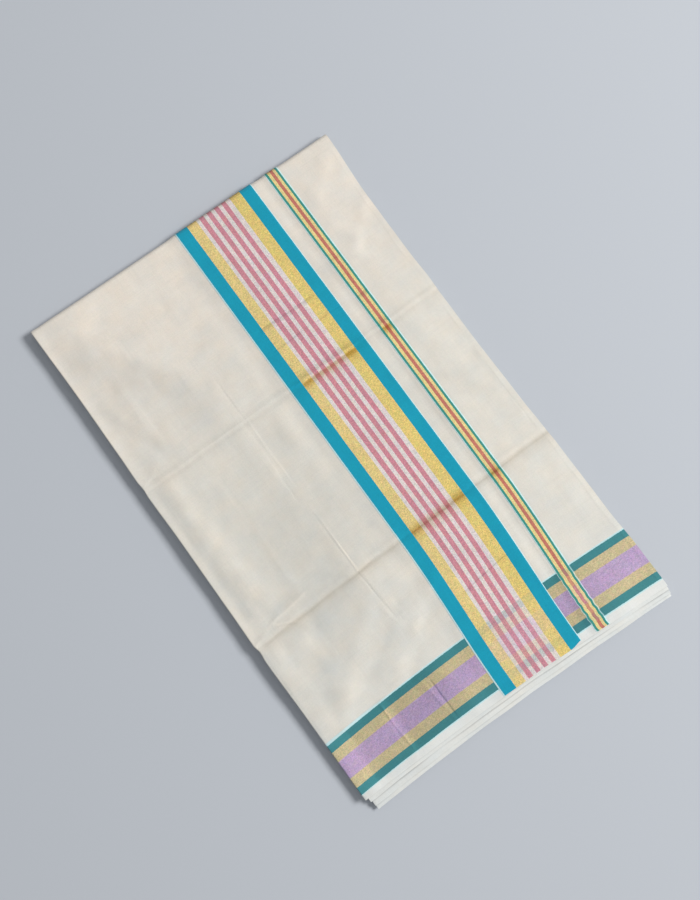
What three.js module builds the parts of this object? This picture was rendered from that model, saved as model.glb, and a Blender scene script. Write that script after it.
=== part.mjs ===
// A cotton saree folded flat for the shelf: one long handloom cloth with a wide and a narrow
// warp border and a woven cross band near its end. The cloth is folded in three across its
// width and in eight along its length, so what shows is its top stretch, the ends of the
// three stretches under it, and the edges of the layers below them.
//
// X runs across the packet, Y along it towards the top fold, Z up. All sizes are millimetres.
import * as THREE from 'three';

// ---- driving sizes -------------------------------------------------------------------------

const packet = { left: -202, right: 200, top: 326.2, hem: -304 };
const wall = 1.0;
const seam = 0.3;

// Heights of the upper faces above the floor. The lower stretches have theirs in their table.
const topLevel = 11.3;
const layersLevel = 5.4;

// The pile's last fold, which the top stretch and those under it turn down over.
const topFoldRadius = topLevel / 2;
const topFoldTurn = THREE.MathUtils.degToRad(150);
const topFoldSteps = 6;
const topFoldStart = packet.top - topFoldRadius;

// The left edge of the top stretch is a soft fold that turns under itself.
const sideFoldRadius = 2.2;
const sideFoldTurn = THREE.MathUtils.degToRad(150);
const sideFoldSteps = 4;

// How far the edges stand off the straight packet, positive to the right.
const sideEdges = [
  { y: 326, left: -0.5, right: 1.9 },
  { y: 230, left: 0.5, right: -2.9 },
  { y: 150, left: 0.0, right: -3.6 },
  { y: 118, left: -0.6, right: -2.6 },
  { y: 107, left: 0.4, right: -2.9 },
  { y: 96, left: -0.3, right: -3.4 },
  { y: 40, left: 0.4, right: -3.6 },
  { y: -60, left: -0.1, right: -2.4 },
  { y: -96, left: -0.6, right: -1.4 },
  { y: -107, left: 1.3, right: -0.9 },
  { y: -118, left: 0.2, right: -0.5 },
  { y: -200, left: 1.2, right: 0.0 },
  { y: -255, left: 1.5, right: 2.0 },
  { y: -310, left: 1.6, right: 2.5 },
];
const leftEdgeReach = 40;
const rightEdgeReach = 60;

// How far a place along the packet moves along Y at its left, middle and right.
const rowBends = [
  { y: 326, left: 0.9, middle: -0.1, right: -0.8 },
  { y: 220, left: 0.0, middle: 0.0, right: 0.0 },
  { y: 0, left: 0.0, middle: 0.0, right: 0.0 },
  { y: -103.8, left: -5.6, middle: -0.1, right: 2.0 },
  { y: -230, left: -5.2, middle: 0.0, right: -7.4 },
  { y: -292, left: -2.6, middle: 0.0, right: -8.8 },
  { y: -304, left: -0.3, middle: 0.3, right: -9.5 },
];

// The borders run the whole length. Close weave makes the cloth under them rise, by swell over
// leftRise and rightRise, and each border stands on it. Near the hem both lean to the left.
const wideBorder = { left: -7, right: 96, leftRise: 16, rightRise: 7, swell: 0.8 };
const narrowBorder = { left: 115.5, right: 132.5, leftRise: 6, rightRise: 7, swell: 0.45 };
const borderShoulder = 1;
const borderEdgeTaper = 2;
const borderLean = { from: -108, to: -304, amount: -7.5, reach: 70 };

// Creases and tucks pressed in the top stretch, each from one place to another.
const creases = [
  { name: 'upper cross crease', x1: -203, y1: 104.2, x2: 203, y2: 104.2, width: 2.4, height: 0.9 },
  { name: 'hollow above it', x1: -203, y1: 109.5, x2: 203, y2: 109.5, width: 4.0, height: -0.35 },
  { name: 'hollow below it', x1: -203, y1: 98, x2: 203, y2: 98, width: 5.0, height: -0.4 },
  { name: 'lower cross crease', x1: -203, y1: -103.8, x2: 203, y2: -103.8, width: 2.6, height: -0.6 },
  { name: 'ridge above it', x1: -203, y1: -98, x2: 203, y2: -98, width: 4.5, height: 0.3 },
  { name: 'lengthwise crease', x1: -64, y1: 135, x2: -62, y2: -160, width: 3.0, height: 0.45 },
  { name: 'slanting tuck', x1: -189, y1: -98, x2: -123, y2: -84, width: 3.5, height: 0.5 },
  { name: 'left rim', x1: -196, y1: 300, x2: -196, y2: -290, width: 4.0, height: 0.45 },
  { name: 'left valley', x1: -185, y1: 85, x2: -185, y2: -50, width: 6.5, height: -0.4 },
  { name: 'right edge line', x1: 194, y1: 300, x2: 194, y2: -296, width: 1.8, height: 0.3 },
];
const creaseTail = 4;

// The pile is fuller in the middle, thinner at the cloth's ends, and softly uneven.
const crown = 0.7;
const endFall = { from: -110, to: -318, depth: 2.0 };
const swells = [
  { x: -110, y: 215, reach: 62, height: 0.45 },
  { x: -150, y: 30, reach: 45, height: 0.5 },
  { x: -95, y: -30, reach: 50, height: -0.4 },
  { x: -120, y: -185, reach: 48, height: 0.4 },
  { x: 165, y: 60, reach: 45, height: 0.35 },
  { x: 160, y: -160, reach: 50, height: 0.3 },
];
const swellsEnd = 60;

// The stretches whose ends show past the hem: the level of the upper face, how far the sides
// lie off the packet's, and where the end lies at the left, middle and right.
const lowerStretches = [
  { name: 'second_stretch', level: 9.35, left: 4.2, right: -1.2, endLeft: -311.5, end: -309.2, endRight: -318.6 },
  { name: 'third_stretch', level: 8.05, left: 5.0, right: -0.8, endLeft: -315, end: -314.4, endRight: -323.2 },
  { name: 'fourth_stretch', level: 6.75, left: 6.4, right: -2.6, endLeft: -320, end: -318.8, endRight: -327 },
];

// The hidden layers' edges, ply by ply from the floor: how far in each lies on three sides.
const plies = [
  { bottom: 0.0, top: 1.1, left: 3.4, right: 2.6, end: 4.0 },
  { bottom: 1.1, top: 2.2, left: 2.0, right: 3.6, end: 2.4 },
  { bottom: 2.2, top: 3.3, left: 3.6, right: 1.8, end: 4.6 },
  { bottom: 3.3, top: 4.4, left: 2.2, right: 3.0, end: 3.0 },
  { bottom: 4.4, top: layersLevel, left: 3.2, right: 2.2, end: 3.8 },
];
const plyGroove = 0.7;
const plyRounding = 0.26;
const pileCorner = 2.5;

// The lines that divide the cloth. They gather where it bends.
const topRows = [
  packet.hem, -298, -290, -266, -242, -230, -210, -180, -150, -122, -112, -108.5, -106, -103.8, -101.5,
  -98, -92, -75, -45, -10, 25, 60, 84, 93, 97.5, 100.5, 102.5, 104.2, 106, 108.5, 112, 118, 132, 165,
  200, 235, 270, 300,
];
const topColumns = [
  -196, -190, -185, -177, -160, -135, -108, -84, -69, -63, -57, -40, -24, -15, wideBorder.left, 20, 44, 70,
  wideBorder.right, 103, 112, narrowBorder.left, 124, narrowBorder.right, 139, 155, 175, 188, 191.5, 194,
  196.5, packet.right,
];
const lowerRows = [-285, -250, -200, -150, -100, -50, 0, 50, 100, 150, 200, 250, 295];
const lowerColumns = [packet.left, -160, -120, -80, -40, 0, 40, 80, 120, 160, packet.right];

// ---- form of the pile ----------------------------------------------------------------------

const { clamp, lerp, smoothstep } = THREE.MathUtils;

// Reads a column of a table at y, easing from row to row.
function tableAt(rows, column, y) {
  const last = rows.length - 1;
  if (y >= rows[0].y) return rows[0][column];
  if (y <= rows[last].y) return rows[last][column];
  const next = rows.findIndex((row) => row.y <= y);
  const above = rows[next - 1];
  const below = rows[next];
  return lerp(below[column], above[column], smoothstep(y, below.y, above.y));
}

// A bow through a left, a middle and a right value.
function across(x, left, middle, right) {
  const side = clamp(x / packet.right, -1, 1);
  const slope = (right - left) / 2;
  const bow = (left + right) / 2 - middle;
  return middle + side * slope + side * side * bow;
}

// Where a point of the straight packet lies in plan in the real one.
function planAt(x, y) {
  const toLeft = 1 - smoothstep(x, packet.left, packet.left + leftEdgeReach);
  const toRight = smoothstep(x, packet.right - rightEdgeReach, packet.right);
  const leanAlong = 1 - smoothstep(y, borderLean.to, borderLean.from);
  const leanAcross =
    smoothstep(x, wideBorder.left - borderLean.reach, wideBorder.left) *
    (1 - smoothstep(x, narrowBorder.right, packet.right));
  const edgeShift =
    toLeft * tableAt(sideEdges, 'left', y) + toRight * tableAt(sideEdges, 'right', y);
  const bend = across(
    x,
    tableAt(rowBends, 'left', y),
    tableAt(rowBends, 'middle', y),
    tableAt(rowBends, 'right', y),
  );
  return { x: x + edgeShift + borderLean.amount * leanAlong * leanAcross, y: y + bend };
}

// How much higher than level the whole pile lies here. It comes level at the top fold.
function pileAt(x, y) {
  let height = crown * (1 - (x / packet.right) ** 2) * (1 - (y / packet.top) ** 4);
  height -= endFall.depth * (1 - smoothstep(y, endFall.to, endFall.from));
  for (const swell of swells) {
    const away = Math.hypot(x - swell.x, y - swell.y) / swell.reach;
    height += swell.height * Math.exp(-away * away);
  }
  return height * (1 - smoothstep(y, topFoldStart - swellsEnd, topFoldStart));
}

// What the creases and the borders' close weave add to the top stretch here.
function reliefAt(x, y) {
  let height = 0;
  for (const crease of creases) {
    const dx = crease.x2 - crease.x1;
    const dy = crease.y2 - crease.y1;
    const length = Math.hypot(dx, dy);
    const along = ((x - crease.x1) * dx + (y - crease.y1) * dy) / length;
    const aside = ((x - crease.x1) * dy - (y - crease.y1) * dx) / length / crease.width;
    const past = Math.max(0, -along, along - length) / (crease.width * creaseTail);
    height += crease.height * Math.exp(-aside * aside - past * past);
  }
  for (const border of [wideBorder, narrowBorder]) {
    const rise = smoothstep(x, border.left - border.leftRise, border.left - borderShoulder);
    const fall = smoothstep(x, border.right + borderShoulder, border.right + border.rightRise);
    height += border.swell * rise * (1 - fall);
  }
  return height;
}

// ---- building cloth ------------------------------------------------------------------------

// A point of a stretch of cloth. u runs across from firstX and is negative where the left edge
// folds under. v runs along and passes topFoldStart where the stretch turns down over the top
// fold. out is the distance from the stretch's upper face.
function clothPoint(stretch, u, v, out) {
  const radius = stretch.level - topFoldRadius;
  const turn = Math.max(0, v - topFoldStart) / radius;
  const fold = Math.max(0, -u) / sideFoldRadius;
  const x = stretch.firstX + Math.max(0, u);
  const y = Math.min(v, topFoldStart);
  const foldOut = (sideFoldRadius + out) * Math.sin(fold);
  const drop = sideFoldRadius - (sideFoldRadius + out) * Math.cos(fold);
  const relief = stretch.creased ? reliefAt(x, y) : 0;
  const radial = radius + pileAt(x, y) + relief - drop;
  const place = planAt(x, y);
  return new THREE.Vector3(
    place.x - foldOut,
    place.y + radial * Math.sin(turn),
    topFoldRadius + radial * Math.cos(turn),
  );
}

// Rows along a stretch, carried on round the top fold for so many of its equal steps.
function rowsOverFold(rows, level, steps) {
  const stepLength = ((level - topFoldRadius) * topFoldTurn) / topFoldSteps;
  const turned = Array.from({ length: steps + 1 }, (_, step) => topFoldStart + stepLength * step);
  return [...rows, ...turned];
}

function indexedGeometry(positions, triangles) {
  const geometry = new THREE.BufferGeometry();
  geometry.setAttribute('position', new THREE.Float32BufferAttribute(positions, 3));
  geometry.setIndex(triangles);
  geometry.computeVertexNormals();
  return geometry;
}

// A closed wall between an outer and an inner face on the same lines.
function wallGeometry(columns, rows, outerPoint, innerPoint) {
  const positions = [];
  const triangles = [];
  for (const pointOf of [outerPoint, innerPoint]) {
    for (const v of rows) {
      for (const u of columns) positions.push(...pointOf(u, v).toArray());
    }
  }
  const faceSize = columns.length * rows.length;
  const outer = (column, row) => row * columns.length + column;
  const inner = (column, row) => faceSize + outer(column, row);
  const quad = (a, b, c, d) => triangles.push(a, b, c, a, c, d);
  const lastColumn = columns.length - 1;
  const lastRow = rows.length - 1;
  for (let row = 0; row < lastRow; row++) {
    for (let column = 0; column < lastColumn; column++) {
      const right = column + 1;
      quad(outer(column, row), outer(right, row), outer(right, row + 1), outer(column, row + 1));
      quad(inner(column, row), inner(column, row + 1), inner(right, row + 1), inner(right, row));
    }
    quad(inner(0, row), outer(0, row), outer(0, row + 1), inner(0, row + 1));
    const side = lastColumn;
    quad(outer(side, row), inner(side, row), inner(side, row + 1), outer(side, row + 1));
  }
  for (let column = 0; column < lastColumn; column++) {
    const right = column + 1;
    quad(inner(column, 0), inner(right, 0), outer(right, 0), outer(column, 0));
    quad(outer(column, lastRow), outer(right, lastRow), inner(right, lastRow), inner(column, lastRow));
  }
  return indexedGeometry(positions, triangles);
}

function piece(name, geometry, color, roughness) {
  const mesh = new THREE.Mesh(geometry, new THREE.MeshStandardMaterial({ color, roughness, metalness: 0 }));
  mesh.name = name;
  return mesh;
}

// ---- the stretch on top --------------------------------------------------------------------

const top = { level: topLevel, firstX: packet.left + sideFoldRadius, creased: true };

function makeTopStretch() {
  const foldStep = (sideFoldRadius * sideFoldTurn) / sideFoldSteps;
  const foldColumns = Array.from({ length: sideFoldSteps + 1 }, (_, step) => foldStep * (step - sideFoldSteps));
  const geometry = wallGeometry(
    [...foldColumns, ...topColumns.map((x) => x - top.firstX)],
    rowsOverFold(topRows, topLevel, topFoldSteps),
    (u, v) => clothPoint(top, u, v, 0),
    (u, v) => clothPoint(top, u, v, -wall),
  );
  return piece('top_stretch', geometry, '#dfd7cd', 0.92);
}

// ---- the two borders -----------------------------------------------------------------------

// A border is a close-woven strip made from the top stretch's own points, moved out. Its long
// edges taper, and it ends one step short of the top stretch, clear of the floor.
function makeBorder(name, border, color, roughness) {
  const between = topColumns.filter((x) => x > border.left && x < border.right);
  const tapers = [border.left + borderEdgeTaper, ...between, border.right - borderEdgeTaper];
  const columns = [border.left, ...tapers, border.right].map((x) => x - top.firstX);
  const edges = [columns[0], columns[columns.length - 1]];
  const thickness = (u) => (edges.includes(u) ? wall / 2 : wall);
  const geometry = wallGeometry(
    columns,
    rowsOverFold(topRows, topLevel, topFoldSteps - 1),
    (u, v) => clothPoint(top, u, v, seam + thickness(u)),
    (u, v) => clothPoint(top, u, v, seam),
  );
  return piece(name, geometry, color, roughness);
}

// ---- the stretches whose ends show past the hem --------------------------------------------

function makeLowerStretch(row) {
  const lower = { level: row.level, firstX: packet.left, creased: false };
  const width = packet.right - packet.left;
  const lastFullRow = lowerRows[0];
  const pointOf = (u, v, out) => {
    const point = clothPoint(lower, u, v, out);
    point.x += lerp(row.left, row.right, u / width);
    if (v < lastFullRow) {
      const x = lower.firstX + u;
      const towardsEnd = (lastFullRow - v) / (lastFullRow - row.end);
      const end = across(x, row.endLeft, row.end, row.endRight);
      point.y = lerp(planAt(x, lastFullRow).y, end, towardsEnd);
    }
    return point;
  };
  const geometry = wallGeometry(
    lowerColumns.map((x) => x - lower.firstX),
    rowsOverFold([row.end, (row.end + lastFullRow) / 2, ...lowerRows], row.level, topFoldSteps),
    (u, v) => pointOf(u, v, 0),
    (u, v) => pointOf(u, v, -wall),
  );
  return piece(row.name, geometry, '#e4dfd8', 0.92);
}

// ---- the hidden layers ---------------------------------------------------------------------

// The pile's outline, anticlockwise from the left of its front, with each side lying in by its
// inset. It ends under the lowest stretch at the front and at the top fold behind.
function layerOutline(inset) {
  const lowest = lowerStretches[lowerStretches.length - 1];
  const back = topFoldStart - seam;
  const inner = lowerColumns.slice(1, -1);
  const frontAt = (x) => across(x, lowest.endLeft, lowest.end, lowest.endRight) + inset.end;
  const leftAt = (y) => planAt(packet.left, y).x + inset.left;
  const rightAt = (y) => planAt(packet.right, y).x - inset.right;
  const leftCorner = leftAt(packet.hem);
  const rightCorner = rightAt(packet.hem);
  return [
    [leftCorner + pileCorner, frontAt(leftCorner)],
    ...inner.map((x) => [x, frontAt(x)]),
    [rightCorner - pileCorner, frontAt(rightCorner)],
    [rightCorner, frontAt(rightCorner) + pileCorner],
    ...lowerRows.map((y) => [rightAt(y), planAt(packet.right, y).y]),
    [rightAt(back), planAt(packet.right, back).y],
    ...inner.toReversed().map((x) => [x, planAt(x, back).y]),
    [leftAt(back), planAt(packet.left, back).y],
    ...lowerRows.toReversed().map((y) => [leftAt(y), planAt(packet.left, y).y]),
    [leftCorner, frontAt(leftCorner) + pileCorner],
  ];
}

// Joins an outer loop of points to an inner one, stepping along whichever edge is shorter.
function joinLoops(positions, triangles, outer, inner) {
  const at = (index) => new THREE.Vector3().fromArray(positions, index * 3);
  const outerAt = (step) => outer[step % outer.length];
  const innerAt = (step) => inner[step % inner.length];
  let outerStep = 0;
  let innerStep = 0;
  while (outerStep < outer.length || innerStep < inner.length) {
    const outerHere = outerAt(outerStep);
    const innerHere = innerAt(innerStep);
    const outerNext = outerAt(outerStep + 1);
    const innerNext = innerAt(innerStep + 1);
    const outerEdge = at(outerNext).distanceTo(at(innerHere));
    const outerIsShorter = outerEdge <= at(innerNext).distanceTo(at(outerHere));
    if (innerStep >= inner.length || (outerStep < outer.length && outerIsShorter)) {
      triangles.push(outerHere, outerNext, innerHere);
      outerStep += 1;
    } else {
      triangles.push(outerHere, innerNext, innerHere);
      innerStep += 1;
    }
  }
}

function makeFoldedLayers() {
  const rings = [];
  for (const ply of plies) {
    const rounding = (ply.top - ply.bottom) * plyRounding;
    const groove = { left: ply.left + plyGroove, right: ply.right + plyGroove, end: ply.end + plyGroove };
    rings.push({ z: ply.bottom, outline: layerOutline(groove) });
    rings.push({ z: ply.bottom + rounding, outline: layerOutline(ply) });
    rings.push({ z: ply.top - rounding, outline: layerOutline(ply) });
    if (ply.top === layersLevel) rings.push({ z: ply.top, outline: layerOutline(groove) });
  }

  const positions = [];
  const triangles = [];
  const ringSize = rings[0].outline.length;
  const addPoint = (x, y, z) => positions.push(x, y, z + pileAt(x, y) * (z / layersLevel));
  for (const ring of rings) {
    for (const [x, y] of ring.outline) addPoint(x, y, ring.z);
  }
  for (let ring = 0; ring < rings.length - 1; ring++) {
    for (let step = 0; step < ringSize; step++) {
      const a = ring * ringSize + step;
      const b = ring * ringSize + ((step + 1) % ringSize);
      triangles.push(a, b, b + ringSize, a, b + ringSize, a + ringSize);
    }
  }
  const floorOutline = rings[0].outline.map(([x, y]) => new THREE.Vector2(x, y));
  for (const [a, b, c] of THREE.ShapeUtils.triangulateShape(floorOutline, [])) triangles.push(a, c, b);

  // The upper face is a grid that follows the swells, joined by its rim to the last ring.
  const columns = lowerColumns.slice(1, -1);
  const gridStart = positions.length / 3;
  for (const y of lowerRows) {
    for (const x of columns) {
      const place = planAt(x, y);
      addPoint(place.x, place.y, layersLevel);
    }
  }
  const grid = (column, row) => gridStart + row * columns.length + column;
  const lastColumn = columns.length - 1;
  const lastRow = lowerRows.length - 1;
  for (let row = 0; row < lastRow; row++) {
    for (let column = 0; column < lastColumn; column++) {
      const here = grid(column, row);
      const opposite = grid(column + 1, row + 1);
      triangles.push(here, grid(column + 1, row), opposite, here, opposite, grid(column, row + 1));
    }
  }
  const rim = [
    ...columns.map((_, column) => grid(column, 0)),
    ...lowerRows.slice(1).map((_, row) => grid(lastColumn, row + 1)),
    ...columns.slice(1).map((_, column) => grid(lastColumn - 1 - column, lastRow)),
    ...lowerRows.slice(2).map((_, row) => grid(0, lastRow - 1 - row)),
  ];
  const lastRing = (rings.length - 1) * ringSize;
  const firstAbreast = 1;
  const outer = rings[0].outline.map((_, step) => lastRing + ((step + firstAbreast) % ringSize));
  joinLoops(positions, triangles, outer, rim);
  return piece('folded_layers', indexedGeometry(positions, triangles), '#d8d2c8', 0.94);
}

// ---- assembly ------------------------------------------------------------------------------

const saree = new THREE.Group();
saree.add(makeFoldedLayers());
for (const row of lowerStretches) saree.add(makeLowerStretch(row));
saree.add(makeTopStretch());
saree.add(makeBorder('wide_border', wideBorder, '#209bb6', 0.85));
saree.add(makeBorder('narrow_border', narrowBorder, '#dcbc78', 0.75));

// The packet lies with its underside at Z = 0 and the middle of its box over the origin.
const box = new THREE.Box3().setFromObject(saree);
const middle = box.getCenter(new THREE.Vector3());
saree.position.set(-middle.x, -middle.y, -box.min.z);
const part = new THREE.Group();
part.add(saree);
export default part;
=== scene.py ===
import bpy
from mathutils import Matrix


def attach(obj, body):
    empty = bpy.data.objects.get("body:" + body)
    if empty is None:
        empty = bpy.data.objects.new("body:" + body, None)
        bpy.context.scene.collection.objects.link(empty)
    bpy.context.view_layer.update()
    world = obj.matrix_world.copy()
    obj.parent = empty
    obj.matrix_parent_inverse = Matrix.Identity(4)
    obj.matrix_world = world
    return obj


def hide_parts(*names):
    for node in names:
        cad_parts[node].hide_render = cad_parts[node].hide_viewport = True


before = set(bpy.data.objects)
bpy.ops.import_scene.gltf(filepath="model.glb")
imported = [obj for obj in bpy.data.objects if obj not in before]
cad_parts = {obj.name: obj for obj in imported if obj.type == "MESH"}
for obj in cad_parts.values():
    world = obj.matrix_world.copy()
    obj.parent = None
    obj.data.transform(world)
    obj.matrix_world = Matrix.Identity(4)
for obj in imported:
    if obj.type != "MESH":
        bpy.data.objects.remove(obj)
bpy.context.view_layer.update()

import math

import bpy
import numpy as np
from mathutils import Matrix, Vector

# ---- Camera, floor and light ----
# The packet is seen from almost straight above, turned so that its long side falls from the
# upper left to the lower right. It lies on a plain pale floor. One large soft light stands on
# its right, a little toward the hem, and a pale sky fills the shadows.

picture_height_px = 900
focal_length_px = 1350
camera_place = Vector((-0.1698, -0.1597, 1.4826))
looked_at = Vector((0.0094, 0.0116, 0.0))
picture_up = Vector((0.577, 0.801, 0.162))

camera_data = bpy.data.cameras.new("camera")
camera_data.sensor_fit = "VERTICAL"
camera_data.sensor_height = 24
camera_data.lens = camera_data.sensor_height * focal_length_px / picture_height_px
camera_data.clip_start = 0.05
camera_data.clip_end = 20
look = (looked_at - camera_place).normalized()
picture_right = look.cross(picture_up).normalized()
picture_up = picture_right.cross(look)
camera = bpy.data.objects.new("camera", camera_data)
camera_turn = Matrix((picture_right, picture_up, -look)).transposed()
camera.matrix_world = Matrix.Translation(camera_place) @ camera_turn.to_4x4()
bpy.context.scene.collection.objects.link(camera)
bpy.context.scene.camera = camera
bpy.context.scene.view_settings.view_transform = "Standard"


def linear(red, green, blue):
    """A colour given as eight-bit screen values, as the shader wants it."""
    shares = [value / 255 for value in (red, green, blue)]
    return [s / 12.92 if s <= 0.04045 else ((s + 0.055) / 1.055) ** 2.4 for s in shares]


floor_size = 8.0
floor_drop = 0.0002
bpy.ops.object.select_all(action="DESELECT")
bpy.ops.mesh.primitive_plane_add(size=floor_size, location=(0, 0, -floor_drop))
floor = bpy.context.object
floor.name = "floor"
floor_material = bpy.data.materials.new("pale floor")
floor_material.use_nodes = True
floor_shader = floor_material.node_tree.nodes["Principled BSDF"]
floor_shader.inputs["Base Color"].default_value = [*linear(196, 201, 209), 1]
floor_shader.inputs["Roughness"].default_value = 0.9
floor_shader.inputs["Specular IOR Level"].default_value = 0.2
floor.data.materials.append(floor_material)

light_azimuth, light_height, light_distance = math.radians(-20), math.radians(40), 5.0
softbox_data = bpy.data.lights.new("softbox", "AREA")
softbox_data.shape = "RECTANGLE"
softbox_data.size = 2.0
softbox_data.size_y = 1.5
softbox_data.energy = 230
softbox_data.color = (1.0, 0.985, 0.955)
softbox = bpy.data.objects.new("softbox", softbox_data)
softbox.location = light_distance * Vector((
    math.cos(light_height) * math.cos(light_azimuth),
    math.cos(light_height) * math.sin(light_azimuth),
    math.sin(light_height),
))
softbox.rotation_euler = (-softbox.location).to_track_quat("-Z", "Y").to_euler()
bpy.context.scene.collection.objects.link(softbox)

sky = bpy.data.worlds.new("pale sky")
sky.use_nodes = True
sky.node_tree.nodes["Background"].inputs["Color"].default_value = (0.965, 0.985, 1.0, 1)
sky.node_tree.nodes["Background"].inputs["Strength"].default_value = 0.36
bpy.context.scene.world = sky

# ---- Folded layers ----
# The saree is one handloom length of unbleached cotton in plain weave. It is folded in three
# across its width, which makes flat stretches of three plies, and in eight along its length.
# The lower half of the pile, four stretches, shows only its edges, a little in and out of line.

# Sizes are millimetres of a straight packet, which the two tables bend to its real outline.
MM = 0.001
packet_left, packet_right = -202.0, 200.0
packet_top, packet_hem = 326.2, -304.0
pile_height = 11.3
fold_radius = pile_height / 2
fold_start = packet_top - fold_radius
hem_reach = 25.0
smooth_angle = math.radians(40)


def table(columns, *rows):
    """A short table with named columns, one row for each place."""
    return np.array([tuple(row) for row in rows], dtype=[(name, float) for name in columns.split()])


# How far the two long edges stand off the straight packet, positive to the right.
side_edges = table(
    "y left right",
    (326, -0.5, 1.9),
    (230, 0.5, -2.9),
    (150, 0, -3.6),
    (118, -0.6, -2.6),
    (107, 0.4, -2.9),
    (96, -0.3, -3.4),
    (40, 0.4, -3.6),
    (-60, -0.1, -2.4),
    (-96, -0.6, -1.4),
    (-107, 1.3, -0.9),
    (-118, 0.2, -0.5),
    (-200, 1.2, 0),
    (-255, 1.5, 2),
    (-310, 1.6, 2.5),
)
left_reach, right_reach = 40.0, 60.0

# How far a place along the packet moves along Y at its left, middle and right.
row_bends = table(
    "y left middle right",
    (326, 0.9, -0.1, -0.8),
    (220, 0, 0, 0),
    (0, 0, 0, 0),
    (-103.8, -5.6, -0.1, 2),
    (-230, -5.2, 0, -8.2),
    (-292, -2.6, 0, -10),
    (-304, 0.2, -0.4, -10.8),
)

# The woven borders, which lean to the left near the hem.
wide_left, wide_right = -7.0, 96.0
narrow_left, narrow_right = 115.5, 132.5
lean_from, lean_to, lean_amount, lean_reach = -108.0, -304.0, -7.5, 70.0

# The pile is fuller in the middle, thinner at the cloth's ends, and softly uneven.
crown = 0.7
end_fall_from, end_fall_to, end_fall_depth = -110.0, -318.0, 2.0
swells_end = 60.0
swells = table(
    "x y reach height",
    (-110, 215, 62, 0.45),
    (-150, 30, 45, 0.5),
    (-95, -30, 50, -0.4),
    (-120, -185, 48, 0.4),
    (165, 60, 45, 0.35),
    (160, -160, 50, 0.3),
)


def ease(value, low, high):
    """0 below low, 1 above high, and a smooth rise between them."""
    share = np.clip((value - low) / (high - low), 0, 1)
    return share * share * (3 - 2 * share)


def read(rows, column, y):
    """A column of a table at y, eased from row to row. The rows run down from the top fold."""
    ys, values = rows["y"][::-1], rows[column][::-1]
    y = np.clip(y, ys[0], ys[-1])
    upper = np.clip(np.searchsorted(ys, y), 1, len(ys) - 1)
    share = ease(y, ys[upper - 1], ys[upper])
    return values[upper - 1] + (values[upper] - values[upper - 1]) * share


def bow(x, left, middle, right):
    """A bow across the packet through three values."""
    side = np.clip(x / packet_right, -1, 1)
    return middle + side * (right - left) / 2 + side * side * ((left + right) / 2 - middle)


def in_plan(x, y):
    """Where a place of the straight packet lies in the real one."""
    to_left = 1 - ease(x, packet_left, packet_left + left_reach)
    to_right = ease(x, packet_right - right_reach, packet_right)
    lean = lean_amount * (1 - ease(y, lean_to, lean_from))
    lean = lean * ease(x, wide_left - lean_reach, wide_left)
    lean = lean * (1 - ease(x, narrow_right, packet_right))
    bends = [read(row_bends, side, y) for side in ("left", "middle", "right")]
    shift = to_left * read(side_edges, "left", y) + to_right * read(side_edges, "right", y)
    return x + shift + lean, y + bow(x, *bends)


def pile_swell(x, y):
    """How much higher than level the pile lies. It comes level at the top fold."""
    height = crown * (1 - (x / packet_right) ** 2) * (1 - (y / packet_top) ** 4)
    height = height - end_fall_depth * (1 - ease(y, end_fall_to, end_fall_from))
    for swell in swells:
        away = np.hypot(x - swell["x"], y - swell["y"]) / swell["reach"]
        height = height + swell["height"] * np.exp(-away * away)
    return height * (1 - ease(y, fold_start - swells_end, fold_start))


def near_hem(v, end):
    """1 at a stretch's end, falling to 0 within a short reach of it."""
    return 1 - ease(v, end, end + hem_reach)


def waviness(across, along, length, seed, waves=7):
    """Soft unevenness between about -1 and 1, of many crossing waves near one length."""
    draw = np.random.default_rng(seed)
    total = np.zeros(np.broadcast(across, along).shape)
    for turn in np.arange(waves) * math.pi / waves:
        wave = length * draw.uniform(0.7, 1.5)
        slant = turn + draw.uniform(0, math.pi / waves)
        phase = draw.uniform(0, 2 * math.pi)
        distance = across * math.cos(slant) + along * math.sin(slant)
        total = total + np.sin(2 * math.pi * distance / wave + phase)
    return total / math.sqrt(waves)


def gathered_lines(first, last, coarse, *gathers):
    """Places from first to last, a coarse step apart, or closer within each gather's reach."""
    step_sign = 1 if last > first else -1
    places = [first]
    while (last - places[-1]) * step_sign > 0:
        near = [step for centre, reach, step in gathers if abs(places[-1] - centre) < reach]
        places.append(places[-1] + step_sign * min([coarse, *near]))
    return np.array([*places[:-1], last])


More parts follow.
